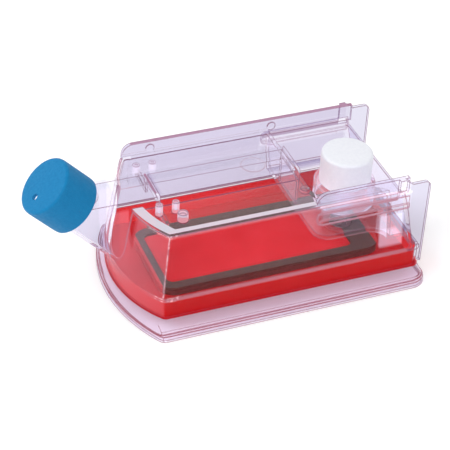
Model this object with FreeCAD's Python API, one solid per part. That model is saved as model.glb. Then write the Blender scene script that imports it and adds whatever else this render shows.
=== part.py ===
# Two-compartment membrane culture flask with an angled filling neck, lying on its base.
# Millimetres. +X runs from the neck to the cell port, +Y to the full-length stacking fin, +Z up.
# The base stands on z = 0 and x = 0 is the middle of the overall length.
import FreeCAD, Part
import math
import os

V = FreeCAD.Vector
os.makedirs("parts", exist_ok=True)

# ---------------------------------------------------------------- driving dimensions
wall = 2.0                  # moulded wall of the clear housing
bow_r = 90.0                # plan radius of the bowed end of the vessel's lower band

skirt_half = 68.6           # half width of the base skirt
skirt_bow_r = 124.0
skirt_apex = -84.6          # x of the middle of the bowed end
skirt_right = 141.2
skirt_corner = 13.0         # plan rounding of the right corners
skirt_blend = 6.0           # plan rounding between the bow and the sides
skirt_foot = 4.3            # height of the upright foot
skirt_foot_draft = 0.6
skirt_ledge = 2.9           # inset of the slope behind the foot
skirt_slope_z = 5.4         # where the slope starts
skirt_slope_top = 10.6      # inset where the slope meets the floor plate
skirt_end_share = 0.34      # insets are smaller at the ends than at the sides
skirt_wall = 2.2
foot_roof = 1.4             # the foot's hollow stops this far below its top
foot_roof_draft = 0.4
hollow_corner = 9.0         # plan rounding of the hollow under the skirt

floor_bottom = 9.2          # floor plate that parts the medium from the air space below
floor_top = 11.2

band_half = 57.6            # straight lower band of the vessel
band_apex = -79.9
band_right = 137.5
band_top = 26.7
band_corner = 6.0
band_blend = 4.5            # plan rounding between the band's bow and its sides

deck_z = 76.8               # flat deck on top of the vessel
deck_edge = 1.8             # bevel round the deck's outer edge
body_half_low = 56.6        # drafted upper walls, at the band and at the deck
body_half_high = 50.1
body_apex_low = -79.6
body_apex_high = -70.7
body_bow_centre = 14.5      # the drafted bow is a cone about this x
body_right_low = 132.5
body_right_high = 122.8
body_corner = 5.0

well_left_top = 57.8        # well that holds the cell port, open at the right end
well_left_floor = 62.5
well_floor = 40.5
well_shelf = -39.8          # y of the well's front wall, which leaves a shelf inside the front fin
well_corner = 10.0
well_mouth = 112.0          # x where the well widens to the outer wall
well_bend = 14.0            # length of the shelf wall's rounded end
well_drop = 11.0            # how far that end turns to the front
well_sill = 69.0            # top of the low wall that closes the well at the right
well_high = 96.0            # the shape that cuts the well reaches up to here

duct_half = 15.6            # raised duct that leads from the neck along the deck
duct_top = 85.8
duct_end = 55.2
baffle_low = 55.0           # bottom of the baffle that hangs at the duct's end

neck_angle = 46.0           # neck axis above the horizontal, towards -X
neck_x = -106.2             # where the neck axis meets the plane of the cap's rim
neck_z = 80.0
neck_r = 16.2
neck_bore = 13.8
neck_stand = 24.6           # length of neck inside the cap
neck_root = 60.0            # length of neck below the cap's rim

fin_top = 86.8
fin_left = -56.0
fin_front_left = 53.5
fin_right = 124.4
fin_thick = 3.0
fin_corner = 8.5
fin_root = 3.0              # depth of the fins' roots below the deck's surface

plate_left = 116.0          # end plates that let the flask stand on its end
plate_right = 140.6
plate_top = 82.3
plate_step = 126.4          # where the plates' top edge slants up to the fins
plate_slant = 6.0
plate_corner = 4.6
plate_inner = 49.8
plate_outer = 52.4

cap_r = 21.6                # screw cap of the medium neck
cap_height = 29.6
cap_wall = 3.0
cap_roof = 2.4
cap_edge = 1.5
liner_t = 1.6               # from the lip of the neck to the filter disc
liner_r = 18.0
liner_bore = 13.2
filter_r = 17.2
vent_r = 2.4
vent_off = 9.5              # vent hole below the middle of the roof, and to the front of it
vent_side = 2.4

port_x = 99.4               # cell port
port_cap_r = 19.0
port_cap_edge = 1.6
port_cap_top = 81.4
port_cap_rim = 56.4
port_cap_wall = 2.4
port_cap_roof = 2.2
port_r = 15.2
port_bore = 12.4
port_liner_r = 16.1
port_mouth = 77.2
stem_r = 8.2
stem_bore = 5.0
boss_r = 22.6               # round tower under the port cap
boss_top = 55.8
boss_wall = 2.0
port_floor = 57.8           # floor inside the port's mouth
seal_bore = 5.2             # hole of the soft seal in the port
seal_t = 2.4
seal_down = 5.0             # depth of the seal below the port's mouth

gap = 0.3                   # clearance between pieces that move on each other
film = 0.15                 # clearance round the medium

ring_left = -53.2           # frame of the cell chamber
ring_right = 117.4
ring_half = 35.8
ring_bar = 7.0
ring_corner = 12.0
chamber_end = 96.5          # right end of the chamber's window
chamber_corner = 5.0
stem_pad_r = 13.4           # round pad that carries the stem, standing into the window
chamber_top = 16.0
membrane_t = 0.5
clamp_t = 2.0
gas_t = 0.7
feed_half = 3.0             # feed channel from the stem into the chamber
feed_reach = 16.0
feed_up = 2.0
gasket_t = 1.5

grid_t = 2.0                # open grid below the gas membrane
grid_columns = 10
grid_rows = 4
grid_bar = 2.2

post_r = 2.6                # stacking posts on the deck
post_h = 8.8
post_bore = 1.0
post_floor = 2.0            # height of the bores' floors above the deck
post_x = (-53.0, -41.0)
post_y = 24.4
cup_post_r = 3.8            # one wide hollow post
cup_h = 6.5
cup_wall = 1.0
cup_floor = 4.0
cup_x = -39.6
cup_y = -35.0
peg_r = 3.3                 # low pegs by the well
peg_x = 53.0
peg_y = 30.0
peg_h = 2.9

rail_left = 53.5            # hand rails outside both walls of the well
rail_low = 62.0
rail_high = 73.0
rail_out = 2.4
rail_nose = 5.0
ridge_low = 63.8            # ridge along the face of each rail
ridge_high = 67.2
ridge_left = 55.1
ridge_out = 1.4
ridge_nose = 1.6

arch_x = -50.5              # arched baffle under the deck
arch_t = 2.0
arch_half = 33.0
arch_low = 70.0
arch_crown = 78.8
arch_open = 11.6            # half width of the passage through the baffle

gate_x = 25.0               # round gate boss on the duct
gate_y = -1.0
gate_r = 8.6
gate_h = 0.6
pad_x = (-35.0, 59.0)       # ejector pads on the full-length fin
pad_up = 4.6
pad_r = 3.2
pad_out = 0.6

border_side = 4.1           # raised border round the deck
border_bow = 7.4
border_h = 2.4
border_end = 57.0
sunk = 0.5                  # overlap that joins a raised feature to what carries it
far = 170.0                 # beyond the flask on every side, for shapes that cut right through


# ---------------------------------------------------------------- shared helpers
def bowed_plan(z, half, apex, right, corner, radius, blend=0.0):
    """Closed plan outline: bowed left end, straight sides, right end with rounded corners.

    blend rounds the two left corners where the bow meets the sides.
    """
    centre = apex + radius
    blend_x = centre - math.sqrt((radius - blend) ** 2 - (half - blend) ** 2)
    swing = math.atan2(blend - half, blend_x - centre)
    middle = (swing - math.pi / 2.0) / 2.0
    bow_y = radius * math.sin(swing)
    bow_x = centre + radius * math.cos(swing)
    bow_mid = V(apex, 0, z)
    edges = [Part.Arc(V(bow_x, -bow_y, z), bow_mid, V(bow_x, bow_y, z)).toShape()]
    if blend > 0:
        mid_x = blend_x + blend * math.cos(middle)
        mid_y = blend - half + blend * math.sin(middle)
        edges.append(Part.Arc(V(bow_x, bow_y, z), V(mid_x, mid_y, z), V(blend_x, -half, z)).toShape())
    edges.append(Part.makeLine(V(blend_x, -half, z), V(right - corner, -half, z)))
    if corner > 0:
        k = corner * (1.0 - math.sqrt(0.5))
        edges.append(Part.Arc(V(right - corner, -half, z), V(right - k, k - half, z),
                              V(right, corner - half, z)).toShape())
    edges.append(Part.makeLine(V(right, corner - half, z), V(right, half - corner, z)))
    if corner > 0:
        edges.append(Part.Arc(V(right, half - corner, z), V(right - k, half - k, z),
                              V(right - corner, half, z)).toShape())
    edges.append(Part.makeLine(V(right - corner, half, z), V(blend_x, half, z)))
    if blend > 0:
        edges.append(Part.Arc(V(blend_x, half, z), V(mid_x, -mid_y, z), V(bow_x, -bow_y, z)).toShape())
    return Part.Wire(edges)


def loft(*wires):
    return Part.makeLoft(list(wires), True, True)


def frustum(low, high):
    """Flat-sided body between two level rectangles, each given as (x0, x1, half, z)."""
    rings = []
    for x0, x1, half, z in (low, high):
        rings.append([V(x0, -half, z), V(x1, -half, z), V(x1, half, z), V(x0, half, z)])
    faces = [Part.Face(Part.makePolygon(ring + ring[:1])) for ring in rings]
    for i in range(4):
        j = (i + 1) % 4
        side = [rings[0][i], rings[0][j], rings[1][j], rings[1][i], rings[0][i]]
        faces.append(Part.Face(Part.makePolygon(side)))
    solid = Part.Solid(Part.Shell(faces))
    if solid.Volume < 0:
        solid.reverse()
    return solid


def drafted(low, high, centre, corner=0.0, blend=0.0):
    """Body with drafted flat sides and a conical bowed left end, between two outlines.

    low and high are (z, half width, x of the bow's middle, x of the right end) and centre is the
    x of the cone's axis. corner rounds the right corners and blend the two left ones.
    """
    z0, half0, apex0, right0 = low
    z1, half1, apex1, right1 = high
    left = centre - far
    body = frustum((left, right0, half0, z0), (left, right1, half1, z1))
    bow = Part.makeCone(centre - apex0, centre - apex1, z1 - z0, V(centre, 0, z0))
    body = body.cut(block(left - 1.0, centre, -far, far, z0, z1).cut(bow))
    tall = 0.9 * (z1 - z0)
    if corner > 0:
        body = round_edges(body, corner, lambda e: e.BoundBox.XMin > min(right0, right1) - 0.1
                           and e.BoundBox.ZLength > tall)
    if blend > 0:
        body = round_edges(body, blend, lambda e: e.BoundBox.XMax < centre and e.BoundBox.ZLength > tall
                           and abs(e.CenterOfMass.y) > 20.0)
    return body


def slab(wire, height):
    return Part.Face(wire).extrude(V(0, 0, height))


def block(x0, x1, y0, y1, z0, z1):
    return Part.makeBox(x1 - x0, y1 - y0, z1 - z0, V(x0, y0, z0))


def rounded_rect(x0, x1, half, corner, z):
    """Rounded rectangle in plan, symmetric about y = 0."""
    face = Part.makePlane(x1 - x0, 2 * half, V(x0, -half, z))
    solid = face.extrude(V(0, 0, 1))
    uprights = [e for e in solid.Edges if abs(e.tangentAt(e.FirstParameter).z) > 0.99]
    rounded = solid.makeFillet(corner, uprights)
    bottom = min(rounded.Faces, key=lambda f: f.CenterOfMass.z)
    return bottom.OuterWire


def side_profile(points, y0, y1):
    """Prism of a straight-sided outline drawn in the XZ plane."""
    outline = Part.makePolygon([V(x, y0, z) for x, z in points] + [V(points[0][0], y0, points[0][1])])
    return Part.Face(outline).extrude(V(0, y1 - y0, 0))


def round_edges(solid, radius, wanted):
    return solid.makeFillet(radius, [e for e in solid.Edges if wanted(e)])


def vertical_bore(x, y, z0, z1, radius):
    return Part.makeCylinder(radius, z1 - z0, V(x, y, z0))


def save(name, shape):
    solid = shape.removeSplitter() if shape.ShapeType != "Solid" else shape
    solid.exportStep("parts/%s.step" % name)
    print("%-22s solids %d  valid %s  volume %.0f" % (name, len(solid.Solids), solid.isValid(), solid.Volume))
    return solid


# Neck frame: neck_axis points out of the neck, neck_up is square to it in the XZ plane.
tilt = math.radians(neck_angle)
neck_axis = V(-math.cos(tilt), 0, math.sin(tilt))
neck_up = V(math.sin(tilt), 0, math.cos(tilt))
neck_seat = V(neck_x, 0, neck_z)


def on_neck(along, up=0.0):
    """Point at a distance out along the neck axis from the cap's rim, and above it."""
    return neck_seat + neck_axis * along + neck_up * up


def neck_cylinder(radius, start, end):
    return Part.makeCylinder(radius, end - start, on_neck(start), neck_axis)


def turned(profile, centre, axis, start):
    """Solid turned about an axis from (radius, height) points, with radius measured along start."""
    pts = [centre + start * r + axis * h for r, h in profile]
    face = Part.Face(Part.makePolygon(pts + [pts[0]]))
    return face.revolve(centre, axis, 360)


# ---------------------------------------------------------------- housing
def half_width(z):
    """Outer half width of the drafted walls at height z."""
    part = (z - band_top) / (deck_z - band_top)
    return body_half_low + (body_half_high - body_half_low) * part


def band_plan(z, inset):
    return bowed_plan(z, band_half - inset, band_apex + inset, band_right - inset, band_corner,
                      bow_r - inset, band_blend - inset)


def vessel(inset, top):
    """Vessel envelope: straight lower band with the drafted upper body on it."""
    low = slab(band_plan(floor_top, inset), band_top - floor_top)
    part = (top - band_top) / (deck_z - band_top)
    apex = body_apex_low + (body_apex_high - body_apex_low) * part
    right = body_right_low + (body_right_high - body_right_low) * part
    high = drafted(
        (band_top, body_half_low - inset, body_apex_low + inset, body_right_low - inset),
        (top, half_width(top) - inset, apex + inset, right - inset), body_bow_centre, body_corner)
    if inset == 0:
        rim = [e for e in high.Edges if e.BoundBox.ZMin > top - 0.01 and e.BoundBox.XMax < right - 1.0]
        high = high.makeChamfer(deck_edge, rim)
    return low.fuse(high)


def duct(inset):
    """Raised duct on the deck with the angled neck below it; inset makes the passage inside."""
    half = duct_half - inset
    top = duct_top - inset
    low_end = on_neck(-neck_root)
    mouth = on_neck(-1.5)
    slope = neck_up.x / neck_up.z
    crown = V(mouth.x + (top - mouth.z) * slope, 0, top)
    roof = side_profile(
        [(mouth.x, mouth.z), (crown.x, top), (duct_end - inset, top), (duct_end - inset, 70.0),
         (low_end.x, 70.0), (low_end.x, low_end.z)], -half, half)
    if inset == 0:
        roof = round_edges(roof, 1.6, lambda e: abs(e.BoundBox.ZMin - top) < 0.01
                           and abs(e.BoundBox.ZMax - top) < 0.01 and e.BoundBox.XLength > 50)
    radius = neck_bore if inset else neck_r
    tube = neck_cylinder(radius, -neck_root, neck_stand + inset)
    return roof.fuse(tube)


def well_plan(z, left, inset):
    """Plan outline of the well: rounded front left corner, and a rounded end of the shelf wall."""
    front = well_shelf - inset
    corner = well_corner + inset
    k = corner * (1.0 - math.sqrt(0.5))
    bend = well_mouth - well_bend
    reach = well_bend - inset
    bend_r = (reach ** 2 + well_drop ** 2) / (2.0 * well_drop)
    turn = math.atan2(reach, bend_r - well_drop) / 2.0
    left_back = V(left, far, z)
    left_front = V(left, front + corner, z)
    corner_mid = V(left + k, front + k, z)
    shelf_left = V(left + corner, front, z)
    shelf_right = V(bend, front, z)
    bend_mid = V(bend + bend_r * math.sin(turn), front - bend_r * (1.0 - math.cos(turn)), z)
    bend_end = V(well_mouth - inset, front - well_drop, z)
    wall_front = V(well_mouth - inset, -far, z)
    right_front = V(far, -far, z)
    right_back = V(far, far, z)
    edges = [
        Part.makeLine(left_back, left_front),
        Part.Arc(left_front, corner_mid, shelf_left).toShape(),
        Part.makeLine(shelf_left, shelf_right),
        Part.Arc(shelf_right, bend_mid, bend_end).toShape(),
        Part.makeLine(bend_end, wall_front),
        Part.makeLine(wall_front, right_front),
        Part.makeLine(right_front, right_back),
        Part.makeLine(right_back, left_back),
    ]
    return Part.Wire(edges)


def well(inset):
    """Well for the cell port; inset grows it to the floor and walls that line it."""
    slope = (well_left_top - well_left_floor) / (deck_z - well_floor)
    deep = well_floor - inset
    high = well_high + 1.0
    left_deep = well_left_floor + slope * (deep - well_floor) - inset
    left_high = well_left_floor + slope * (high - well_floor) - inset
    return loft(well_plan(deep, left_deep, inset), well_plan(high, left_high, inset))


def fins():
    """Stacking fins on the deck edges: the back one is full length, the front one guards the well."""
    shapes = []
    for side, left in ((1, fin_left), (-1, fin_front_left)):
        y0 = body_half_high - fin_thick if side > 0 else -body_half_high
        fin = block(left, fin_right, y0, y0 + fin_thick, deck_z - fin_root, fin_top)
        fin = round_edges(fin, fin_corner, lambda e: e.BoundBox.XMax < left + 0.01
                          and e.BoundBox.ZMin > fin_top - 0.01)
        shapes.append(fin)
    return shapes


def end_plates():
    """Upright plates beyond the end wall, so that the flask can stand on its end."""
    outline = side_profile(
        [(plate_left, floor_top), (plate_right, floor_top), (plate_right, plate_top), (plate_step, plate_top),
         (plate_step - plate_slant, fin_top), (plate_left, fin_top)], plate_inner, plate_outer)
    plate = round_edges(outline, plate_corner, lambda e: e.BoundBox.XMin > plate_right - 0.01
                        and e.BoundBox.ZMin > plate_top - 0.01)
    plate = plate.cut(vessel(wall, well_high))
    return [plate, plate.mirror(V(0, 0, 0), V(0, 1, 0))]


def deck_border():
    """Raised border round the deck, broad on the bowed end and narrow along the sides."""
    low = deck_z - sunk
    bow = body_bow_centre - body_apex_high
    outer = slab(bowed_plan(low, body_half_high, body_apex_high, border_end, 0.0, bow), border_h + sunk)
    inner = slab(bowed_plan(low - 1.0, body_half_high - border_side, body_apex_high + border_bow,
                            border_end + 1.0, 0.0, bow - border_side), border_h + sunk + 2.0)
    return outer.cut(inner).cut(block(-far, border_end + 1.0, -duct_half, duct_half, low - 1.0, fin_top))


def hollow_post(x, y, top, radius, floor, bore):
    """Upright post on the deck with a blind bore from its top."""
    post = vertical_bore(x, y, deck_z - sunk, deck_z + top, radius)
    return post.cut(vertical_bore(x, y, deck_z + floor, deck_z + top + 1.0, bore))


def posts():
    """Hollow stacking posts near the bowed end, one wide cup, and pegs by the well."""
    shapes = [hollow_post(x, y, post_h, post_r, post_floor, post_bore) for x in post_x for y in (-post_y, post_y)]
    shapes.append(hollow_post(cup_x, cup_y, cup_h, cup_post_r, cup_floor, cup_post_r - cup_wall))
    for y in (-peg_y, peg_y):
        shapes.append(vertical_bore(peg_x, y, deck_z - sunk, deck_z + peg_h, peg_r))
    return shapes


def hand_rails():
    """Rails outside both walls beside the well, each with a rounded nose and a ridge along it."""
    root = half_width(rail_low) - 1.0
    face = half_width(rail_high) + rail_out
    rail = block(rail_left, fin_right, root, face, rail_low, rail_high)
    rail = round_edges(rail, rail_nose, lambda e: e.BoundBox.XMax < rail_left + 0.1
                       and e.BoundBox.YLength > 1.0)
    ridge = block(ridge_left, fin_right, root, face + ridge_out, ridge_low, ridge_high)
    ridge = round_edges(ridge, ridge_nose, lambda e: e.BoundBox.XMax < ridge_left + 0.1
                        and e.BoundBox.YLength > 1.0)
    rail = rail.fuse(ridge)
    return [rail, rail.mirror(V(0, 0, 0), V(0, 1, 0))]


def make_arch(passage):
    """Arched baffle hanging from the deck across the duct, near the neck."""
    arch = block(arch_x, arch_x + arch_t, -arch_half, arch_half, arch_low, duct_top - 1.0)
    opening = block(arch_x - 1.0, arch_x + arch_t + 1.0, -arch_open, arch_open, arch_low - 1.0, arch_crown)
    return arch.cut(opening).common(passage.fuse(duct(wall - gap)))


def duct_marks():
    """Round gate boss on the duct, and ejector pads inside the full-length fin."""
    shapes = [vertical_bore(gate_x, gate_y, duct_top - sunk, duct_top + gate_h, gate_r)]
    for x in pad_x:
        at = V(x, body_half_high - fin_thick - pad_out, deck_z + pad_up)
        shapes.append(Part.makeCylinder(pad_r, pad_out + sunk, at, V(0, 1, 0)))
    return shapes


def make_housing():
    shell = vessel(0.0, deck_z)
    passage = vessel(wall, deck_z - wall)
    # the well is open above and lined by a floor, a left wall and a low sill at the right
    well_space = well(0.0).common(vessel(wall, well_high))
    well_lining = well(wall)
    cavity = passage.cut(well_lining)
    shell = shell.fuse(duct(0.0))
    shell = shell.cut(well_space).cut(cavity).cut(duct(wall).cut(well_lining))
    inner_half = half_width(deck_z) - wall
    shell = shell.cut(block(plate_left - 1.2, plate_right, -inner_half, inner_half, well_sill, fin_top))
    baffle = block(duct_end - wall, duct_end, sunk - duct_half, duct_half - sunk, baffle_low, deck_z + 1.0)
    raised = fins() + end_plates() + posts() + hand_rails() + duct_marks()
    shell = shell.fuse(raised + [deck_border(), make_arch(passage), baffle])
    shell = shell.cut(neck_cylinder(neck_bore, -4.0, neck_stand + 5.0))
    return shell.cut(vertical_bore(port_x, 0.0, well_floor - 5.0, well_floor + 5.0, boss_r - boss_wall))


# ---------------------------------------------------------------- base
def skirt_body(z0, inset0, z1, inset1, thickness=0.0):
    """Skirt-shaped body between two heights, with smaller insets at the ends than at the sides.

    thickness draws it in further by the same amount all round, for the hollow below.
    """
    ends = []
    for z, inset in ((z0, inset0), (z1, inset1)):
        end = inset * skirt_end_share + thickness
        ends.append((z, skirt_half - inset - thickness, skirt_apex + end, skirt_right - end))
    centre = skirt_apex + skirt_bow_r
    if thickness:
        return drafted(ends[0], ends[1], centre, hollow_corner)
    return drafted(ends[0], ends[1], centre, skirt_corner - inset0 * skirt_end_share, skirt_blend)


def make_base():
    """Skirt with an upright foot, a ledge and a long slope, and the floor plate with the chamber's window."""
    slope = (skirt_slope_top - skirt_ledge) / (floor_top - skirt_slope_z)
    slope_end = skirt_ledge + slope * (floor_bottom - skirt_slope_z)
    foot = skirt_body(0.0, 0.0, skirt_foot, skirt_foot_draft)
    ledge = skirt_body(skirt_foot, skirt_ledge - 0.1, skirt_slope_z, skirt_ledge)
    shoulder = skirt_body(skirt_slope_z, skirt_ledge, floor_top, skirt_slope_top)
    foot_hollow = skirt_body(-1.0, 0.0, skirt_foot - foot_roof, foot_roof_draft, skirt_wall)
    ledge_hollow = skirt_body(-1.0, skirt_ledge - 0.1, skirt_slope_z, skirt_ledge, skirt_wall)
    shoulder_hollow = skirt_body(skirt_slope_z, skirt_ledge, floor_bottom, slope_end, skirt_wall)
    body = foot.fuse([ledge, shoulder]).cut([foot_hollow, ledge_hollow, shoulder_hollow])
    return body.cut(window_space(0.0, chamber_top))


def make_support_grid():
    """Open grid under the gas membrane, pressed against the floor plate."""
    outline = rounded_rect(ring_left + 2.0, chamber_end + 6.0, ring_half - 2.0, 7.0, floor_bottom - grid_t)
    plate = slab(outline, grid_t)
    left = ring_left + ring_bar + 1.0
    front = ring_bar + 1.0 - ring_half
    pitch_x = (chamber_end - 1.0 - left + grid_bar) / grid_columns
    pitch_y = (grid_bar - 2.0 * front) / grid_rows
    for i in range(grid_columns):
        for j in range(grid_rows):
            x = left + i * pitch_x
            y = front + j * pitch_y
            plate = plate.cut(block(x, x + pitch_x - grid_bar, y, y + pitch_y - grid_bar, 0.0, floor_top))
    return plate


def frame_plan(z, grow=0.0):
    return rounded_rect(ring_left - grow, ring_right + grow, ring_half + grow, ring_corner, z)


def window_plan(z, grow=0.0):
    """Plan outline of the chamber's window, inside its frame."""
    return rounded_rect(ring_left + ring_bar - grow, chamber_end + grow, ring_half - ring_bar + grow,
                        chamber_corner, z)


def window_space(z0, z1, grow=0.0):
    """Space of the chamber's window between two heights, with the stem's round pad left standing."""
    pad = vertical_bore(port_x, 0.0, z0, z1, stem_pad_r - grow)
    return slab(window_plan(z0, grow), z1 - z0).cut(pad)


def ring_between(z0, z1):
    """Rounded frame of the cell chamber with a broad right end and a round pad for the port stem."""
    outer = slab(frame_plan(z0), z1 - z0)
    return outer.cut(window_space(z0 - 1.0, z1 + 1.0))


def make_chamber_ring():
    z0 = floor_top + gas_t
    ring = ring_between(z0, chamber_top)
    feed = vertical_bore(port_x, 0.0, z0 + feed_up, chamber_top + 1.0, stem_bore)
    channel = block(port_x - feed_reach, port_x, -feed_half, feed_half, z0 + feed_up, chamber_top - 1.0)
    return ring.cut(feed).cut(channel)


def make_gas_membrane():
    return slab(frame_plan(floor_top, -0.8), gas_t)


def make_upper_membrane():
    sheet = slab(frame_plan(chamber_top, -0.8), membrane_t)
    return sheet.cut(vertical_bore(port_x, 0.0, 0.0, 40.0, stem_r + 0.4))


def make_clamp_ring():
    z0 = chamber_top + membrane_t
    ring = ring_between(z0, z0 + clamp_t)
    return ring.cut(vertical_bore(port_x, 0.0, 0.0, 40.0, stem_r + 0.2))


# ---------------------------------------------------------------- medium
def make_medium():
    """Culture medium lying in the lower band, round the chamber frame and the port stem."""
    pool = slab(band_plan(floor_top, wall + film), band_top - floor_top)
    over_z = chamber_top + membrane_t
    frame = slab(frame_plan(floor_top - 1.0, film), over_z + clamp_t - floor_top + 1.0 + film)
    stem = vertical_bore(port_x, 0.0, floor_top, band_top + 5.0, stem_r + film)
    over = window_space(over_z + film, band_top, -film)
    return pool.cut(frame.cut(over)).cut(stem)


# ---------------------------------------------------------------- cell port
def make_port_tube():
    """Port moulding: a round tower on the well floor, its threaded mouth, and a stem to the chamber."""
    z_stem = chamber_top + gasket_t
    roof = boss_top - boss_wall
    profile = [
        (stem_bore, z_stem), (stem_r, z_stem), (stem_r, roof), (boss_r - boss_wall, roof),
        (boss_r - boss_wall, well_floor), (boss_r, well_floor), (boss_r, boss_top), (port_r, boss_top),
        (port_r, port_mouth), (port_bore, port_mouth), (port_bore, port_floor), (stem_bore, port_floor),
    ]
    return turned(profile, V(port_x, 0, 0), V(0, 0, 1), V(1, 0, 0))


def make_port_seal():
    """Soft disc in the mouth of the port that grips a pipette."""
    top = port_mouth - seal_down
    disc = vertical_bore(port_x, 0.0, top - seal_t, top, port_bore)
    return disc.cut(vertical_bore(port_x, 0.0, 0.0, port_mouth, seal_bore))


def make_port_gasket():
    ring = vertical_bore(port_x, 0.0, chamber_top, chamber_top + gasket_t, stem_r)
    return ring.cut(vertical_bore(port_x, 0.0, 0.0, 40.0, stem_bore))


def make_port_cap():
    height = port_cap_top - port_cap_rim
    inner = port_cap_r - port_cap_wall
    profile = [
        (port_cap_r, 0.0), (port_cap_r, height - port_cap_edge), (port_cap_r - port_cap_edge, height),
        (0.0, height), (0.0, height - port_cap_roof), (inner, height - port_cap_roof), (inner, 0.0),
    ]
    return turned(profile, V(port_x, 0, port_cap_rim), V(0, 0, 1), V(1, 0, 0))


def make_port_liner():
    roof = port_cap_top - port_cap_roof
    return vertical_bore(port_x, 0.0, port_mouth + gap, roof - gap, port_liner_r)


# ---------------------------------------------------------------- neck cap
def make_neck_cap():
    """Screw cap with a bevelled top edge and a vent hole in its roof."""
    inner = cap_r - cap_wall
    roof = cap_height - cap_roof
    profile = [
        (cap_r, 0.0), (cap_r, cap_height - cap_edge), (cap_r - cap_edge, cap_height), (0.0, cap_height),
        (0.0, roof), (inner, roof), (inner, 0.0),
    ]
    cap = turned(profile, neck_seat, neck_axis, neck_up)
    hole_at = on_neck(roof - 1.0) - neck_up * vent_off + V(0, -vent_side, 0)
    return cap.cut(Part.makeCylinder(vent_r, cap_roof + 2.0, hole_at, neck_axis))


def make_vent_membrane():
    """White filter disc under the roof of the neck cap."""
    return neck_cylinder(filter_r, neck_stand + liner_t, cap_height - cap_roof - gap)


def make_neck_liner():
    """Sealing ring between the filter disc and the lip of the neck."""
    outer = neck_cylinder(liner_r, neck_stand + gap, neck_stand + liner_t)
    return outer.cut(neck_cylinder(liner_bore, neck_stand - 1.0, neck_stand + liner_t + 1.0))


save("housing", make_housing())
save("base_frame", make_base())
save("support_grid", make_support_grid())
save("gas_membrane", make_gas_membrane())
save("chamber_ring", make_chamber_ring())
save("upper_membrane", make_upper_membrane())
save("clamp_ring", make_clamp_ring())
save("culture_medium", make_medium())
save("port_tube", make_port_tube())
save("port_seal", make_port_seal())
save("port_gasket", make_port_gasket())
save("port_cap", make_port_cap())
save("port_cap_liner", make_port_liner())
save("neck_cap", make_neck_cap())
save("vent_membrane", make_vent_membrane())
save("neck_cap_liner", make_neck_liner())
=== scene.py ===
import math
import bpy
import bmesh
from mathutils import Matrix, Vector


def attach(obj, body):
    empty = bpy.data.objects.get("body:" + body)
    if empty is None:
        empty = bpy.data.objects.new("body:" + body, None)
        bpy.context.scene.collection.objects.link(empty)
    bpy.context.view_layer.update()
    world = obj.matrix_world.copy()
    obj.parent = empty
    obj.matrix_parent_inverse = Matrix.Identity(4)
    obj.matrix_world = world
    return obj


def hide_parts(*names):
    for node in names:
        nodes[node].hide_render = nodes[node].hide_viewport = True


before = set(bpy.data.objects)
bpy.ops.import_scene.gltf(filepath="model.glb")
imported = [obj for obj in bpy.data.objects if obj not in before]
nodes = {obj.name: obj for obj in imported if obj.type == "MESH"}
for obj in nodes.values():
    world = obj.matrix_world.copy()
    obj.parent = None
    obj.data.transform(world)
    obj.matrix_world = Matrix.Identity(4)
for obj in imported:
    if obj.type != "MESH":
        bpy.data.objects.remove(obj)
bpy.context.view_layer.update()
print("frame loaded:", len(nodes), "nodes")

up = (0.0, 0.0, 1.0)
towardsNeck = (-1.0, 0.0, 0.0)
black = (0.0, 0.0, 0.0)
white = (1.0, 1.0, 1.0)
mottleSpan = (0.3, 0.7)  # where nearly all values of the mottle lie


# small helpers for shader trees
def newMaterial(name):
    mat = bpy.data.materials.new(name)
    mat.use_nodes = True
    return mat, mat.node_tree, mat.node_tree.nodes["Principled BSDF"]


def dress(nodeName, mat):
    slots = nodes[nodeName].material_slots
    for slot in slots:
        slot.material = mat
    if not slots:
        nodes[nodeName].data.materials.append(mat)


# joins another node's output to a socket, or sets a plain value or colour on the socket
def feed(tree, socket, value):
    if isinstance(value, bpy.types.NodeSocket):
        tree.links.new(value, socket)
    elif isinstance(value, tuple) and len(socket.default_value) > len(value):
        socket.default_value = (*value, 1.0)
    else:
        socket.default_value = value


def addMath(tree, operation, first, second):
    node = tree.nodes.new("ShaderNodeMath")
    node.operation = operation
    feed(tree, node.inputs[0], first)
    feed(tree, node.inputs[1], second)
    return node.outputs[0]


def addVectorMath(tree, operation, first, second):
    node = tree.nodes.new("ShaderNodeVectorMath")
    node.operation = operation
    feed(tree, node.inputs[0], first)
    feed(tree, node.inputs[1], second)
    return node.outputs["Value" if operation == "DOT_PRODUCT" else "Vector"]


def addRange(tree, source, fromLow, fromHigh, low=0.0, high=1.0):
    ramp = tree.nodes.new("ShaderNodeMapRange")
    ramp.inputs["From Min"].default_value = fromLow
    ramp.inputs["From Max"].default_value = fromHigh
    ramp.inputs["To Min"].default_value = low
    ramp.inputs["To Max"].default_value = high
    tree.links.new(source, ramp.inputs["Value"])
    return ramp.outputs["Result"]


# either end may be a plain colour or another node's output
def addColourMix(tree, share, first, second):
    mix = tree.nodes.new("ShaderNodeMix")
    mix.data_type = "RGBA"
    feed(tree, mix.inputs["A"], first)
    feed(tree, mix.inputs["B"], second)
    tree.links.new(share, mix.inputs["Factor"])
    return mix.outputs["Result"]


def addBump(tree, shader, height, strength, distance=0.0004):
    bump = tree.nodes.new("ShaderNodeBump")
    bump.inputs["Strength"].default_value = strength
    bump.inputs["Distance"].default_value = distance
    tree.links.new(height, bump.inputs["Height"])
    tree.links.new(bump.outputs["Normal"], shader.inputs["Normal"])


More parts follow.
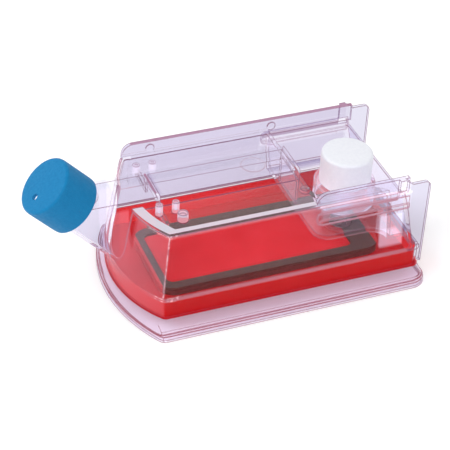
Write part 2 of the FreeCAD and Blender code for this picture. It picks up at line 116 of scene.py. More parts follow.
# lets lamp and sky light through a clear part to what lies behind it
def letLightThrough(tree, shader, tint):
    lightPath = tree.nodes.new("ShaderNodeLightPath")
    bare = tree.nodes.new("ShaderNodeBsdfTransparent")
    bare.inputs["Color"].default_value = (*tint, 1.0)
    mix = tree.nodes.new("ShaderNodeMixShader")
    tree.links.new(lightPath.outputs["Is Shadow Ray"], mix.inputs["Fac"])
    tree.links.new(shader.outputs["BSDF"], mix.inputs[1])
    tree.links.new(bare.outputs["BSDF"], mix.inputs[2])
    tree.links.new(mix.outputs["Shader"], tree.nodes["Material Output"].inputs["Surface"])


# starts a shared effect with named inputs, which hold starting values, and one named output
def newGroup(name, inputs, output):
    group = bpy.data.node_groups.new(name, "ShaderNodeTree")
    for label, value in inputs.items():
        kind = "NodeSocketVector" if isinstance(value, tuple) else "NodeSocketFloat"
        group.interface.new_socket(name=label, in_out="INPUT", socket_type=kind).default_value = value
    group.interface.new_socket(name=output, in_out="OUTPUT", socket_type="NodeSocketFloat")
    source = group.nodes.new("NodeGroupInput")
    sink = group.nodes.new("NodeGroupOutput")
    return group, source.outputs, sink.inputs[output]


# fine unevenness of moulded plastic, which serves colour, roughness and bump alike
def makeMouldMottle():
    group, given, mottle = newGroup("mouldMottle", {"Scale": 60.0, "Detail": 3.0}, "Mottle")
    coords = group.nodes.new("ShaderNodeTexCoord")
    noise = group.nodes.new("ShaderNodeTexNoise")
    group.links.new(coords.outputs["Object"], noise.inputs["Vector"])
    group.links.new(given["Scale"], noise.inputs["Scale"])
    group.links.new(given["Detail"], noise.inputs["Detail"])
    group.links.new(noise.outputs["Fac"], mottle)
    return group


# 1 along the edges of a moulding, 0 on its flats
def makeEdgeLine(flat=0.985, bent=0.93, samples=6):
    group, given, edge = newGroup("edgeLine", {"Radius": 0.0008}, "Edge")
    bevel = group.nodes.new("ShaderNodeBevel")
    bevel.samples = samples
    group.links.new(given["Radius"], bevel.inputs["Radius"])
    face = group.nodes.new("ShaderNodeNewGeometry")
    likeness = addVectorMath(group, "DOT_PRODUCT", bevel.outputs["Normal"], face.outputs["Normal"])
    group.links.new(addRange(group, likeness, flat, bent), edge)
    return group


# 1 on faces whose normal points along the given direction, 0 on the others
def makeFacingAlong(aside=0.5, straight=0.95):
    group, given, faces = newGroup("facingAlong", {"Along": up}, "Faces")
    face = group.nodes.new("ShaderNodeNewGeometry")
    likeness = addVectorMath(group, "DOT_PRODUCT", face.outputs["Normal"], given["Along"])
    group.links.new(addRange(group, likeness, aside, straight), faces)
    return group


# 1 inside a box given in the node's own coordinates, 0 outside, with a thin soft edge
def makeWithinBox(softness=0.0002):
    group, given, inside = newGroup("withinBox", {"Low": (0.0, 0.0, 0.0), "High": (1.0, 1.0, 1.0)}, "Inside")
    place = group.nodes.new("ShaderNodeTexCoord").outputs["Object"]
    above = addVectorMath(group, "SUBTRACT", place, given["Low"])
    below = addVectorMath(group, "SUBTRACT", given["High"], place)
    parts = group.nodes.new("ShaderNodeSeparateXYZ")
    group.links.new(addVectorMath(group, "MINIMUM", above, below), parts.inputs["Vector"])
    depth = addMath(group, "MINIMUM", parts.outputs["X"], parts.outputs["Y"])
    depth = addMath(group, "MINIMUM", depth, parts.outputs["Z"])
    group.links.new(addRange(group, depth, 0.0, softness), inside)
    return group


mouldMottle = makeMouldMottle()
edgeLine = makeEdgeLine()
facingAlong = makeFacingAlong()
withinBox = makeWithinBox()


def addGroup(tree, group, **values):
    node = tree.nodes.new("ShaderNodeGroup")
    node.node_tree = group
    for label, value in values.items():
        node.inputs[label].default_value = value
    return node.outputs[0]


# everything between two heights
def slab(low, high, reach=1.0):
    return (-reach, -reach, low), (reach, reach, high)


bodyLeft, bodyRight = -0.0800, 0.1262  # past the bow's tip, and just short of the step in the end plates
wellLeft = 0.0525  # a little left of the port's well
wallOut = 0.0585  # just outside the side walls
overDeck = 0.0772  # just above the deck
finTop = 0.0868
overTop = 0.0900  # above all that stands on the deck


# round one post that stands on the deck
def postBox(x, y, half):
    return (x - half, y - half, overDeck - 0.0001), (x + half, y + half, overTop)


# where the housing's features lie, as boxes with a low and a high corner
areas = {
    # back fin and the back wall below it
    "fin": [((bodyLeft, 0.0440, 0.0762), (bodyRight, 0.0475, overTop)),
            ((bodyLeft, 0.0475, 0.0300), (wellLeft, wallOut, overDeck)),
            ((wellLeft, 0.0475, 0.0300), (bodyRight, wallOut, 0.0615)),
            ((wellLeft, 0.0475, 0.0735), (bodyRight, wallOut, overDeck)),
            ((bodyLeft, 0.0465, overDeck), (bodyRight, wallOut, overTop))],
    "frontFin": [((0.0500, -0.0510, overDeck), (bodyRight, -0.0465, overTop))],
    # hand rails at the front and at the back of the well, the front one with the well's shelf
    "frontRail": [((0.0575, -0.0535, 0.0625), (bodyRight, -0.0375, 0.0770))],
    "rail": [((wellLeft, 0.0460, 0.0610), (bodyRight, wallOut, 0.0740))],
    # right end with its two end plates
    "plate": [((0.1220, -0.0545, 0.0100), (0.1450, 0.0545, overTop))],
    "neck": [((-0.1500, -0.0200, 0.0300), (-0.0780, 0.0200, 0.1200))],
    # where the neck meets the bow
    "root": [((-0.0835, -0.0215, 0.0300), (-0.0712, 0.0215, 0.0780))],
    # lowest part of the walls, inside the base
    "foot": [((-0.0810, -0.0578, 0.0000), (0.1377, 0.0578, 0.0128))],
    # arched baffle across the duct
    "baffle": [((-0.0496, -0.0136, 0.0770), (-0.0470, 0.0136, 0.0862))],
    # right end of the front wall, and the ledge below the front fin
    "end": [((0.1030, -0.0620, 0.0330), (0.1215, -0.0440, 0.0590))],
    "ledge": [((0.0560, -0.0545, 0.0748), (bodyRight, -0.0480, 0.0771))],
    # front half of the deck's raised border
    "border": [((bodyLeft, -0.0600, 0.0785), (0.0575, 0.0000, 0.0795))],
    # four posts and the cup
    "post": [postBox(x, y, 0.0030) for x in (-0.0530, -0.0410) for y in (-0.0244, 0.0244)]
            + [postBox(-0.0396, -0.0350, 0.0040)],
    # front wall and bow, and the corner between them
    "front": [((-0.0850, -0.0600, 0.0130), (bodyRight, -0.0400, 0.0765)),
              ((-0.0850, -0.0600, 0.0130), (-0.0560, 0.0600, 0.0765))],
    "corner": [((-0.0660, -0.0620, 0.0135), (-0.0480, -0.0480, 0.0765))],
    # edges that show only faintly: the back hand rail and the gate boss on the duct
    "faint": [((wellLeft, 0.0475, 0.0600), (bodyRight, 0.0600, 0.0750)),
              ((0.0100, -0.0150, 0.0853), (0.0400, 0.0130, 0.0880))],
    # painted shade in dark stripes: across the duct above the baffle, beside the neck's root, and the top of
    # the back fin
    "stripe": [((-0.0519, -0.0120, 0.0850), (-0.0501, 0.0125, 0.0862)),
               ((-0.0706, 0.0125, 0.0450), (-0.0680, 0.0190, 0.0779)),
               ((-0.0790, 0.0450, finTop - 0.0004), (bodyRight, 0.0520, finTop + 0.0010))],
    # back of the deck and its border, which are left without lines
    "hidden": [((-0.0810, 0.0150, 0.0762), (0.0575, 0.0472, 0.0815))],
    # round the neck's root and behind it, where neither the painted shine nor the painted glow of the bow is
    # laid
    "quiet": [((-0.0870, -0.0215, 0.0300), (-0.0660, 0.0215, 0.0779)),
              ((-0.0900, 0.0155, 0.0580), (-0.0480, 0.0600, 0.0779))]}


# largest of the masks of all boxes of the named areas
def addAreas(tree, *names):
    whole = None
    for low, high in [box for name in names for box in areas[name]]:
        mask = addGroup(tree, withinBox, Low=low, High=high)
        whole = mask if whole is None else addMath(tree, "MAXIMUM", whole, mask)
    return whole


# gives each named area its own colour over the one before
def paintAreas(tree, colour, colours):
    for name, own in colours.items():
        colour = addColourMix(tree, addAreas(tree, name), colour, own)
    return colour


# clear moulded plastic: wall is its colour seen straight on, and rim its darker colour at a slant, which is
# painted shade. Its edges carry painted lines, dark with a glowing colour, that stand in for light bent at
# the edges, with a thin painted shine beside them, whose strength is the glint, and plain areas have neither.
# Tints deepen the thick areas, and the foot's red tint is painted red light of the medium. The glows are
# painted light: low glows laid on areas that catch the light or the red of the medium
# the slant sets where the painted rim shade begins, the two widths are those of the painted lines and of the
# painted shine beside them, and the near-white colour is that shine's colour
clearFinish = {"ior": 1.02, "grain": 90.0, "spread": (0.6, 1.6), "blend": 0.25, "slant": (0.62, 0.88),
               "lineWidth": 0.0014, "haloWidth": 0.0026, "paintedShine": (1.0, 0.98, 1.0), "coatRoughness": 0.04}
clearPlastic = {
    # painted light and shade: rim is painted shade at a slant, edge the dark body of the painted lines, line
    # their glow and glint the strength of the painted shine
    "wall": (0.93, 0.922, 0.95), "rim": (0.42, 0.22, 0.34), "edge": (0.03, 0.02, 0.03),
    "line": (0.16, 0.05, 0.10), "clearness": 0.995, "roughness": 0.02, "gloss": (0.03, 0.5),
    "shadowTint": (0.985, 0.98, 0.985), "glint": 0.07,
    "plain": ("foot", "hidden"),
    "tints": {"fin": (0.62, 0.575, 0.715), "frontFin": (0.55, 0.52, 0.60), "frontRail": (0.80, 0.77, 0.84),
              "plate": (0.72, 0.70, 0.81), "rail": (0.72, 0.685, 0.80), "neck": (0.83, 0.82, 0.90),
              # the foot's red tint is painted red light of the medium, seen through the lowest part of the
              # walls
              "foot": (0.30, 0.02, 0.03), "baffle": (0.78, 0.74, 0.85)},
    # painted light: low glows laid on these areas, pale where they catch the light and red at the foot for
    # the red of the medium
    "paintedGlows": {"root": (0.065, 0.050, 0.062), "frontFin": (0.19, 0.185, 0.225),
              "frontRail": (0.075, 0.08, 0.095), "ledge": (0.40, 0.38, 0.44), "end": (0.13, 0.150, 0.19),
              "foot": (0.24, 0.006, 0.010)},
    # painted lines: the glow colour of the lines in these areas; the stripes are painted shade
    "lines": {"front": (0.40, 0.17, 0.22), "faint": (0.44, 0.34, 0.42), "stripe": (0.30, 0.13, 0.21)},
    # painted light: a low glow on the faces that point to the neck, which makes that side lighter
    "bow": (0.055, 0.045, 0.055),  # glow of the faces that point to the neck
    # painted highlight: pale broken streaks in the lines of the corner
    "cornerHighlight": {"colour": (0.90, 0.70, 0.76), "scale": 420.0, "detail": 2.0, "span": (0.50, 0.60)},
    # painted highlights: pale posts, and a bright top on the raised border over a near-black body
    "post": {"body": (0.50, 0.47, 0.52), "glow": (0.30, 0.28, 0.33)},
    "border": {"body": (0.02, 0.02, 0.02), "glow": (0.64, 0.62, 0.71)}}

areas["tread"] = [slab(0.0088, 0.0200)]  # floor plate and top of the base
# the base's wall colour is its lavender tint with a pink of painted red light from the medium; line is a red
# painted glow on its lines, and glint the strength of its painted shine
basePlastic = {
    "wall": (0.72, 0.64, 0.745), "rim": (0.60, 0.40, 0.50), "edge": (0.02, 0.01, 0.01),
    "line": (0.24, 0.020, 0.055), "clearness": 0.98, "roughness": 0.03, "gloss": (0.12, 0.5),
    "shadowTint": (0.98, 0.97, 0.98), "glint": 0.16,
    "plain": ("tread",), "tints": {}, "paintedGlows": {}, "lines": {}}

areas["stem"] = [slab(0.0, 0.0300)]  # the port's stem, down in the medium
areas["tower"] = [((0.0700, -0.0300, 0.0250), (0.1300, 0.0300, 0.0600))]  # its round tower
# painted light: the glow of the port's tower, and glint the strength of its painted shine
portPlastic = {
    "wall": (0.92, 0.88, 0.93), "rim": (0.74, 0.62, 0.70), "edge": (0.10, 0.07, 0.09),
    "line": (0.34, 0.22, 0.30), "clearness": 0.92, "roughness": 0.04, "gloss": (0.12, 0.5),
    "shadowTint": (0.99, 0.985, 0.99), "glint": 0.25,
    "plain": ("stem",), "tints": {}, "paintedGlows": {"tower": (0.075, 0.065, 0.08)}, "lines": {}}


# edge mask of the given width, left out of the plain areas
def addEdges(tree, width, marked):
    return addMath(tree, "MULTIPLY", addGroup(tree, edgeLine, Radius=width), marked)


# painted highlight: pale broken streaks in the lines where the bow turns into the front wall
def paintCornerHighlight(tree, cornerHighlight, line):
    mottle = addGroup(tree, mouldMottle, Scale=cornerHighlight["scale"], Detail=cornerHighlight["detail"])
    streaks = addMath(tree, "MULTIPLY", addAreas(tree, "corner"), addRange(tree, mottle, *cornerHighlight["span"]))
    return addColourMix(tree, streaks, line, cornerHighlight["colour"])


# painted highlights: the posts are painted pale between their lines, and the raised border's top is painted
# with the light it catches, over a dark body
def paintDeckHighlights(tree, spec, lines, facingUp, body, glow):
    posts = addMath(tree, "MULTIPLY", addAreas(tree, "post"), addMath(tree, "SUBTRACT", 1.0, lines))
    border = addMath(tree, "MULTIPLY", addAreas(tree, "border"), facingUp)
    for mask, cover in ((posts, spec["post"]), (border, spec["border"])):
        body = addColourMix(tree, mask, body, cover["body"])
        glow = addColourMix(tree, mask, glow, cover["glow"])
    return body, glow


# body is the colour of the plastic itself, and glow is the painted light that is laid over it as emission
def makeClearPlastic(name, spec):
    mat, tree, shader = newMaterial(name)
    mottle = addGroup(tree, mouldMottle, Scale=clearFinish["grain"])
    facing = tree.nodes.new("ShaderNodeLayerWeight")
    facing.inputs["Blend"].default_value = clearFinish["blend"]
    facingUp = addGroup(tree, facingAlong, Along=up)
    marked = addMath(tree, "SUBTRACT", 1.0, addAreas(tree, *spec["plain"]))
    lines = addEdges(tree, clearFinish["lineWidth"], marked)
    if "stripe" in spec["lines"]:  # stripes count as lines
        lines = addMath(tree, "MAXIMUM", lines, addAreas(tree, "stripe"))
    # painted shine: a thin pale band laid beside the lines, as strong as the glint
    paintedShine = addMath(tree, "SUBTRACT", addEdges(tree, clearFinish["haloWidth"], marked), lines)
    paintedShine = addMath(tree, "MULTIPLY", paintedShine, spec["glint"])
    glow = black
    # painted light on the faces that point to the neck, kept out of the quiet areas as the painted shine is
    if "bow" in spec:  # nothing shines in the quiet areas
        quiet = addAreas(tree, "quiet")
        paintedShine = addMath(tree, "SUBTRACT", paintedShine, quiet)
        bow = addMath(tree, "SUBTRACT", addGroup(tree, facingAlong, Along=towardsNeck), quiet)
        glow = addColourMix(tree, addMath(tree, "MAXIMUM", bow, 0.0), glow, spec["bow"])
    # painted light: the low glows of the named areas
    glow = paintAreas(tree, glow, spec["paintedGlows"])
    glow = addColourMix(tree, addMath(tree, "MAXIMUM", paintedShine, 0.0), glow, clearFinish["paintedShine"])
    # painted lines: each area's glow colour is laid on its lines
    line = paintAreas(tree, spec["line"], spec["lines"])
    if "cornerHighlight" in spec:
        line = paintCornerHighlight(tree, spec["cornerHighlight"], line)
    glow = addColourMix(tree, lines, glow, line)
    body = paintAreas(tree, spec["wall"], spec["tints"])
    # painted shade: the colour turns darker at a slant, and the body is dark on the painted lines
    slant = addRange(tree, facing.outputs["Facing"], *clearFinish["slant"])
    body = addColourMix(tree, slant, body, spec["rim"])
    body = addColourMix(tree, lines, body, spec["edge"])
    # painted highlights on the deck's posts and border
    if "post" in spec:
        body, glow = paintDeckHighlights(tree, spec, lines, facingUp, body, glow)
    tree.links.new(body, shader.inputs["Base Color"])
    tree.links.new(glow, shader.inputs["Emission Color"])
    shader.inputs["Emission Strength"].default_value = 1.0
    least, most = clearFinish["spread"]
    roughness = addRange(tree, mottle, *mottleSpan, spec["roughness"] * least, spec["roughness"] * most)
    tree.links.new(roughness, shader.inputs["Roughness"])
    shader.inputs["Transmission Weight"].default_value = spec["clearness"]
    shader.inputs["IOR"].default_value = clearFinish["ior"]
    tree.links.new(addRange(tree, facingUp, 0.0, 1.0, *spec["gloss"]), shader.inputs["Coat Weight"])
    shader.inputs["Coat Roughness"].default_value = clearFinish["coatRoughness"]
    letLightThrough(tree, shader, spec["shadowTint"])
    return mat


finishes = {"housing": makeClearPlastic("clearHousing", clearPlastic),
            "base_frame": makeClearPlastic("clearBase", basePlastic),
            "port_tube": makeClearPlastic("clearPort", portPlastic)}
for nodeName, finish in finishes.items():
    dress(nodeName, finish)
print("clear mouldings dressed")


# smooth faces, with sharp edges where they turn by more than the given angle in degrees
def smoothMesh(mesh, sharpAngle=35):
    mesh.shade_smooth()
    mesh.set_sharp_from_angle(angle=math.radians(sharpAngle))


# makes a piece from its points and faces, with all faces turned outwards
def finishPiece(name, verts, faces, mat, sharpAngle=35):
    mesh = bpy.data.meshes.new(name)
    mesh.from_pydata([tuple(v) for v in verts], [], faces)
    bm = bmesh.new()
    bm.from_mesh(mesh)
    bmesh.ops.recalc_face_normals(bm, faces=bm.faces)
    bm.to_mesh(mesh)
    bm.free()
    smoothMesh(mesh, sharpAngle)
    mesh.materials.append(mat)
    piece = bpy.data.objects.new(name, mesh)
    bpy.context.collection.objects.link(piece)
    return piece


# faces between closed rings of points, with a lid on the first ring and one on the last
def ringFaces(ringCount, count):
    faces = [tuple(range(count)), tuple((ringCount - 1) * count + i for i in range(count))]
    for k in range(ringCount - 1):
        for i in range(count):
            j = (i + 1) % count
            faces.append((k * count + i, k * count + j, (k + 1) * count + j, (k + 1) * count + i))
    return faces


# red medium: a level pool, red all through, whose surface lets the frame below it show. Its edge rises at the
# walls, and each pair of the climb is a distance from the wall and a share of that rise
# the far side's much brighter red than the side's is painted light on the pool's inner faces, seen through
# its surface
medium = {"colour": (0.50, 0.012, 0.018), "pale": (0.57, 0.022, 0.030), "side": (0.52, 0.003, 0.005),
          "paintedLitFarSide": (0.95, 0.045, 0.055), "shadowTint": (0.97, 0.70, 0.72), "surface": 0.08, "skin": 0.0006,
          "grain": 28.0, "detail": 4.0, "roughness": 0.12, "shine": 0.05,
          "level": 0.0267, "floor": 0.0115, "half": 0.05545, "apex": -0.07775, "right": 0.13535,
          "bow": 0.0879, "blend": 0.0025, "leastBlend": 0.0002, "corner": 0.006, "sharpAngle": 50,
          "rise": 0.0006, "climb": ((0.0, 1.0), (0.0006, 0.4), (0.0016, 0.08), (0.0040, 0.0)),
          "bowSteps": 40, "blendSteps": 6, "sideSteps": 20, "cornerSteps": 8, "endSteps": 10}


# points of an arc in plan
def arcPoints(centre, radius, start, sweep, count):
    return [(centre[0] + radius * math.cos(start + sweep * i / count),
             centre[1] + radius * math.sin(start + sweep * i / count)) for i in range(count + 1)]


# points of a straight run in plan, without its two ends
def runPoints(first, last, count):
    return [(first[0] + (last[0] - first[0]) * i / count, first[1] + (last[1] - first[1]) * i / count)
            for i in range(1, count)]


# points round the pool, drawn in by the given distance
def poolOutline(inset):
    half, bow, right = (medium[name] - inset for name in ("half", "bow", "right"))
    corner = medium["corner"]
    blend = max(medium["blend"] - inset, medium["leastBlend"])
    centre = medium["apex"] + medium["bow"]
    foot = centre - math.sqrt((bow - blend) ** 2 - (half - blend) ** 2)
    swing = math.atan2(half - blend, centre - foot)
    turn = math.pi / 2
    pts = arcPoints((centre, 0.0), bow, math.pi - swing, 2 * swing, medium["bowSteps"])
    pts += arcPoints((foot, blend - half), blend, math.pi + swing, turn - swing, medium["blendSteps"])[1:]
    start = pts[-1][0]
    pts += runPoints((start, -half), (right - corner, -half), medium["sideSteps"])
    pts += arcPoints((right - corner, corner - half), corner, -turn, turn, medium["cornerSteps"])
    pts += runPoints((right, corner - half), (right, half - corner), medium["endSteps"])
    pts += arcPoints((right - corner, half - corner), corner, 0.0, turn, medium["cornerSteps"])
    pts += runPoints((right - corner, half), (start, half), medium["sideSteps"])
    pts += arcPoints((foot, half - blend), blend, turn, turn - swing, medium["blendSteps"])[:-1]
    return pts


def makeRedMedium():
    mat, tree, shader = newMaterial("redMedium")
    mottle = addGroup(tree, mouldMottle, Scale=medium["grain"], Detail=medium["detail"])
    colour = addColourMix(tree, addRange(tree, mottle, *mottleSpan), medium["colour"], medium["pale"])
    face = tree.nodes.new("ShaderNodeNewGeometry")
    # painted light: the inner faces, seen through the surface, get the brighter red
    side = addColourMix(tree, face.outputs["Backfacing"], medium["side"], medium["paintedLitFarSide"])
    colour = addColourMix(tree, addGroup(tree, facingAlong, Along=up), side, colour)
    tree.links.new(colour, shader.inputs["Base Color"])
    low, high = slab(medium["level"] - medium["skin"], 1.0)
    surface = addGroup(tree, withinBox, Low=low, High=high)
    tree.links.new(addRange(tree, surface, 0.0, 1.0, 1.0, medium["surface"]), shader.inputs["Alpha"])
    shader.inputs["Roughness"].default_value = medium["roughness"]
    shader.inputs["Specular IOR Level"].default_value = medium["shine"]
    letLightThrough(tree, shader, medium["shadowTint"])
    return mat


def makeMediumPool():
    rings = [(0.0, medium["floor"])]
    rings += [(inset, medium["level"] + medium["rise"] * share) for inset, share in medium["climb"]]
    verts = [(x, y, z) for inset, z in rings for x, y in poolOutline(inset)]
    faces = ringFaces(len(rings), len(verts) // len(rings))
    pool = finishPiece("mediumPool", verts, faces, makeRedMedium(), medium["sharpAngle"])
    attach(pool, "flask")
    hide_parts("culture_medium")


makeMediumPool()
print("medium poured")


# opaque mouldings and soft parts
def makeMoulded(name, spec, smoother=0.06, rougher=0.08):
    mat, tree, shader = newMaterial(name)
    mottle = addGroup(tree, mouldMottle, Scale=spec["grain"])
    colour = addColourMix(tree, addRange(tree, mottle, *mottleSpan), spec["colour"], spec["shade"])
    if "wet" in spec:
        colour = addColourMix(tree, addAreas(tree, "wet"), colour, spec["wet"])
    tree.links.new(colour, shader.inputs["Base Color"])
    roughness = addRange(tree, mottle, *mottleSpan, spec["roughness"] - smoother, spec["roughness"] + rougher)
    tree.links.new(roughness, shader.inputs["Roughness"])
    addBump(tree, shader, mottle, spec["bump"])
    shader.inputs["Specular IOR Level"].default_value = spec.get("shine", 0.5)
    if "glow" in spec:
        shader.inputs["Emission Color"].default_value = (*spec["glow"], 1.0)
        shader.inputs["Emission Strength"].default_value = 1.0
    return mat


linerFoam = {"colour": (0.85, 0.85, 0.84), "shade": (0.78, 0.78, 0.77), "grain": 900.0, "roughness": 0.75,
             "bump": 0.3}
greyRubber = {"colour": (0.70, 0.70, 0.71), "shade": (0.62, 0.62, 0.63), "grain": 600.0, "roughness": 0.6,
              "bump": 0.2}
# outer edge of the dark frame's left bar, its pad under the port, and its right end, where the red of the
# medium covers it
areas["wet"] = [((-0.0545, -0.0400, 0.0), (-0.0510, 0.0400, 0.0300)),
                ((0.0800, -0.0145, 0.0), (0.0965, 0.0145, 0.0300)),
                ((0.1137, -0.0400, 0.0), (0.1200, 0.0400, 0.0300))]
mouldedParts = {
    "neck_cap": {"colour": (0.002, 0.195, 0.43), "shade": (0.002, 0.170, 0.39), "grain": 500.0,
                 "roughness": 0.48, "bump": 0.25, "shine": 0.18},
    "port_cap": {"colour": (0.80, 0.81, 0.86), "shade": (0.76, 0.77, 0.83), "grain": 420.0,
                 "roughness": 0.40, "bump": 0.20},
    "neck_cap_liner": linerFoam,
    "port_cap_liner": linerFoam,
    # painted light: the vent's membrane glows pale, though it is no lamp
    "vent_membrane": {"colour": (0.92, 0.92, 0.92), "shade": (0.86, 0.86, 0.86), "grain": 1500.0,
                      "roughness": 0.85, "bump": 0.3, "glow": (0.55, 0.55, 0.56)},
    "chamber_ring": {"colour": (0.095, 0.058, 0.050), "shade": (0.065, 0.042, 0.038), "grain": 300.0,
                     "roughness": 0.5, "bump": 0.2, "wet": (0.48, 0.012, 0.018)},
    "clamp_ring": {"colour": (0.048, 0.048, 0.036), "shade": (0.032, 0.034, 0.026), "grain": 300.0,
                   "roughness": 0.5, "bump": 0.2, "wet": (0.50, 0.014, 0.020)},
    "upper_membrane": {"colour": (0.55, 0.015, 0.022), "shade": (0.64, 0.032, 0.042), "grain": 60.0,
                       "roughness": 0.7, "bump": 0.2, "shine": 0.05},
    "gas_membrane": {"colour": (0.74, 0.72, 0.72), "shade": (0.66, 0.64, 0.64), "grain": 700.0,
                     "roughness": 0.6, "bump": 0.2},
    "support_grid": {"colour": (0.62, 0.62, 0.64), "shade": (0.55, 0.55, 0.57), "grain": 400.0,
                     "roughness": 0.5, "bump": 0.2},
    "port_seal": greyRubber,
    "port_gasket": greyRubber}
for nodeName, spec in mouldedParts.items():
    finishes[nodeName] = makeMoulded(nodeName + "Finish", spec)
    dress(nodeName, finishes[nodeName])
print("caps, membranes and frame dressed")

# the two screw caps with their mouths: distances along the axis count from the seat, at the cap's open edge
neckTilt = math.radians(46.0)
neckScrew = {"seat": Vector((-0.1062, 0.0, 0.0800)),
             "axis": Vector((-math.cos(neckTilt), 0.0, math.sin(neckTilt))),
             "side": Vector((math.sin(neckTilt), 0.0, math.cos(neckTilt))),
             "body": "neck_cap_shell", "node": "neck_cap", "slot": "blue_cap",
             "radius": 0.0216, "height": 0.0296, "wall": 0.0030, "roof": 0.0024, "rim": 0.0024,
             "ribs": 90, "ribDepth": 0.00022, "mouth": 0.0162,
             "threadStart": 0.0115, "lead": 0.0080, "ridge": 0.0012,
             "vent": {"radius": 0.0024, "side": -0.0095, "across": -0.0024, "below": 0.004, "above": 0.002,
                      "steps": 32}}
portScrew = {"seat": Vector((0.0994, 0.0, 0.0564)), "axis": Vector(up), "side": Vector((1.0, 0.0, 0.0)),
             "body": "port_cap_shell", "node": "port_cap", "slot": "white_cap",
             "radius": 0.0190, "height": 0.0250, "wall": 0.0024, "roof": 0.0022, "rim": 0.0022,
             "ribs": 80, "ribDepth": 0.00015, "mouth": 0.0152,
             "threadStart": 0.0100, "lead": 0.0070, "ridge": 0.0008}
# what both caps share: lip and chamfer at the open edge, plain band below the ribs, how far the plain parts
# lie inside the ribs, and the form of one rib in shares of its depth
capForm = {"lip": 0.0004, "chamfer": 0.0005, "relief": 0.0001, "band": 0.0013, "ribFoot": 0.0018,
           "ribGap": 0.0008, "rimSteps": 6, "rib": (0.0, 0.5, 1.0, 0.5)}
# what both threads share: the ridge's half width at its root, the crest's share of it, how far the root is
# sunk into the mouth, and how fast the ends fade
threadForm = {"starts": 2, "turns": 1.1, "steps": 120, "half": 0.0011, "crest": 0.4, "sunk": 0.0002,
              "fade": 8.0}


# direction that stands square to a screw's axis and its side
def acrossOf(screw):
    return screw["axis"].cross(screw["side"])


# point of a screw's own frame: along its axis, out from it and round it
def screwPoint(screw, along, out, angle):
    outward = screw["side"] * math.cos(angle) + acrossOf(screw) * math.sin(angle)
    return screw["seat"] + screw["axis"] * along + outward * out


# cuts the vent hole through the cap's roof
def pierce(cap, screw):
    vent = screw["vent"]
    centre = screw["side"] * vent["side"] + acrossOf(screw) * vent["across"]
    steps = vent["steps"]
    verts = [screwPoint(screw, screw["height"] + rise, vent["radius"], 2 * math.pi * i / steps) + centre
             for rise in (-vent["below"], vent["above"]) for i in range(steps)]
    drill = finishPiece("ventDrill", verts, ringFaces(2, steps), cap.data.materials[0])
    cut = cap.modifiers.new("vent", "BOOLEAN")
    cut.operation = "DIFFERENCE"
    cut.object = drill
    bpy.context.view_layer.update()
    pierced = bpy.data.meshes.new_from_object(cap.evaluated_get(bpy.context.evaluated_depsgraph_get()))
    cap.modifiers.clear()
    cap.data = pierced
    smoothMesh(pierced)
    drillMesh = drill.data
    bpy.data.objects.remove(drill)
    bpy.data.meshes.remove(drillMesh)


# one moulded cap: hollow, ribbed round its side, with a rounded top edge
def makeCap(name, screw, mat):
    radius, height, rim = screw["radius"], screw["height"], screw["rim"]
    inner, roof = radius - screw["wall"], height - screw["roof"]
    plain, lip = radius - capForm["relief"], capForm["lip"]
    rings = [(inner, roof, False), (inner, lip, False), (inner + lip, 0.0, False),
             (radius - capForm["chamfer"], 0.0, False), (plain, lip, False), (plain, capForm["band"], False),
             (radius, capForm["ribFoot"], True), (radius, height - rim - capForm["ribGap"], True),
             (plain, height - rim, False)]
    for k in range(1, capForm["rimSteps"] + 1):
        turn = math.pi / 2 * k / capForm["rimSteps"]
        rings.append((plain - rim * (1 - math.cos(turn)), height - rim + rim * math.sin(turn), False))
    rib = capForm["rib"]
    steps = screw["ribs"] * len(rib)
    verts = []
    for out, along, ribbed in rings:
        for i in range(steps):
            dip = screw["ribDepth"] * rib[i % len(rib)] if ribbed else 0.0
            verts.append(screwPoint(screw, along, out - dip, 2 * math.pi * i / steps))
    cap = finishPiece(name, verts, ringFaces(len(rings), steps), mat)
    if "vent" in screw:
        pierce(cap, screw)
    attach(cap, screw["body"])
    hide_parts(screw["node"])


# screw thread on the outside of a mouth, fading out at both ends
def makeThread(name, screw, mat):
    steps, turns, half = threadForm["steps"], threadForm["turns"], threadForm["half"]
    crest, root = half * threadForm["crest"], screw["mouth"] - threadForm["sunk"]
    corners = 4  # of the ridge's section
    verts, faces = [], []
    for start in range(threadForm["starts"]):
        first = len(verts)
        for i in range(steps + 1):
            part = i / steps
            full = min(1.0, part * threadForm["fade"], (1.0 - part) * threadForm["fade"])
            out = screw["mouth"] + screw["ridge"] * full
            along = screw["threadStart"] + screw["lead"] * turns * part
            angle = 2 * math.pi * (start / threadForm["starts"] + turns * part)
            for radius, off in ((root, -half), (out, -crest), (out, crest), (root, half)):
                verts.append(screwPoint(screw, along + off, radius, angle))
        for i in range(steps):
            a = first + i * corners
            for k in range(corners):
                j = (k + 1) % corners
                faces.append((a + k, a + j, a + corners + j, a + corners + k))
        last = first + steps * corners
        faces += [tuple(range(first, first + corners)), tuple(range(last, last + corners))]
    thread = finishPiece(name, verts, faces, mat)
    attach(thread, "flask")


makeCap("ribbedNeckCap", neckScrew, finishes["neck_cap"])
makeCap("ribbedPortCap", portScrew, finishes["port_cap"])
makeThread("neckThread", neckScrew, finishes["housing"])
makeThread("portThread", portScrew, finishes["port_tube"])
print("caps and threads made")

# floor and surroundings
room = {"floorColour": (0.94, 0.94, 0.945), "floorReach": 6.0, "floorRoughness": 0.9, "floorGlow": 0.14,
        "worldLight": 0.80, "lampAim": (0.0, 0.0, 0.04),
        "lamps": {"keyLamp": {"place": (-1.3, 0.1, 1.2), "size": (0.9, 0.7), "power": 12.0},
                  "frontLamp": {"place": (0.3, -1.5, 1.0), "size": (1.0, 0.6), "power": 5.0}}}


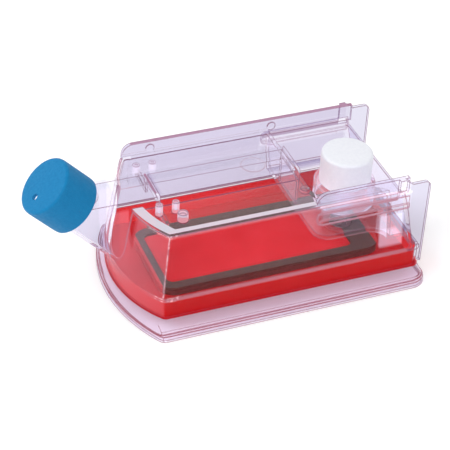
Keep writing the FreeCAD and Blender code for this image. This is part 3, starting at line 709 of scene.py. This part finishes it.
# 1 for what the camera, a reflection or a clear part sees, 0 for light on the object
def seenMask(tree):
    rays = tree.nodes.new("ShaderNodeLightPath").outputs
    seen = addMath(tree, "MAXIMUM", rays["Is Camera Ray"], rays["Is Glossy Ray"])
    return addMath(tree, "MAXIMUM", seen, rays["Is Transmission Ray"])


def makeFloor():
    reach = room["floorReach"]
    mesh = bpy.data.meshes.new("floor")
    mesh.from_pydata([(-reach, -reach, 0), (reach, -reach, 0), (reach, reach, 0), (-reach, reach, 0)], [],
                     [(0, 1, 2, 3)])
    floor = bpy.data.objects.new("floor", mesh)
    bpy.context.collection.objects.link(floor)
    mat, tree, shader = newMaterial("paleFloor")
    shader.inputs["Base Color"].default_value = (*room["floorColour"], 1.0)
    shader.inputs["Roughness"].default_value = room["floorRoughness"]
    shader.inputs["Specular IOR Level"].default_value = 0.0
    shader.inputs["Emission Color"].default_value = (*white, 1.0)
    glow = addMath(tree, "MULTIPLY", seenMask(tree), room["floorGlow"])
    tree.links.new(glow, shader.inputs["Emission Strength"])
    mesh.materials.append(mat)


def makeWorld():
    world = bpy.data.worlds.new("studio")
    bpy.context.scene.world = world
    world.use_nodes = True
    tree = world.node_tree
    tree.nodes.clear()
    mix = tree.nodes.new("ShaderNodeMixShader")
    tree.links.new(seenMask(tree), mix.inputs["Fac"])
    for k, strength in ((1, room["worldLight"]), (2, 1.0)):  # what lights the object, then what is seen
        sky = tree.nodes.new("ShaderNodeBackground")
        sky.inputs["Color"].default_value = (*white, 1.0)
        sky.inputs["Strength"].default_value = strength
        tree.links.new(sky.outputs["Background"], mix.inputs[k])
    out = tree.nodes.new("ShaderNodeOutputWorld")
    tree.links.new(mix.outputs["Shader"], out.inputs["Surface"])


def addLamp(name, spec):
    light = bpy.data.lights.new(name, "AREA")
    light.shape = "RECTANGLE"
    light.size, light.size_y = spec["size"]
    light.energy = spec["power"]
    lamp = bpy.data.objects.new(name, light)
    lamp.location = spec["place"]
    beam = Vector(room["lampAim"]) - Vector(spec["place"])
    lamp.rotation_euler = beam.to_track_quat("-Z", "Y").to_euler()
    bpy.context.collection.objects.link(lamp)


makeFloor()
makeWorld()
for name, spec in room["lamps"].items():
    addLamp(name, spec)

# camera, rolled a little about its own line of sight
shot = {"place": (-0.3548, -0.8458, 0.7376), "aim": (0.00667, 0.0, 0.0363), "lens": 128.66, "sensor": 36.0,
        "roll": 3.19}


def makeCamera():
    data = bpy.data.cameras.new("camera")
    data.lens = shot["lens"]
    data.sensor_width = shot["sensor"]
    cam = bpy.data.objects.new("camera", data)
    back = (Vector(shot["place"]) - Vector(shot["aim"])).normalized()
    right = Vector(up).cross(back).normalized()
    over = back.cross(right)
    roll = math.radians(shot["roll"])
    camRight = right * math.cos(roll) + over * math.sin(roll)
    camUp = over * math.cos(roll) - right * math.sin(roll)
    turned = Matrix((camRight, camUp, back)).transposed().to_4x4()
    cam.matrix_world = Matrix.Translation(shot["place"]) @ turned
    bpy.context.collection.objects.link(cam)
    bpy.context.scene.camera = cam


makeCamera()
bpy.context.scene.view_settings.view_transform = "Standard"
print("stage, lamps and camera set")
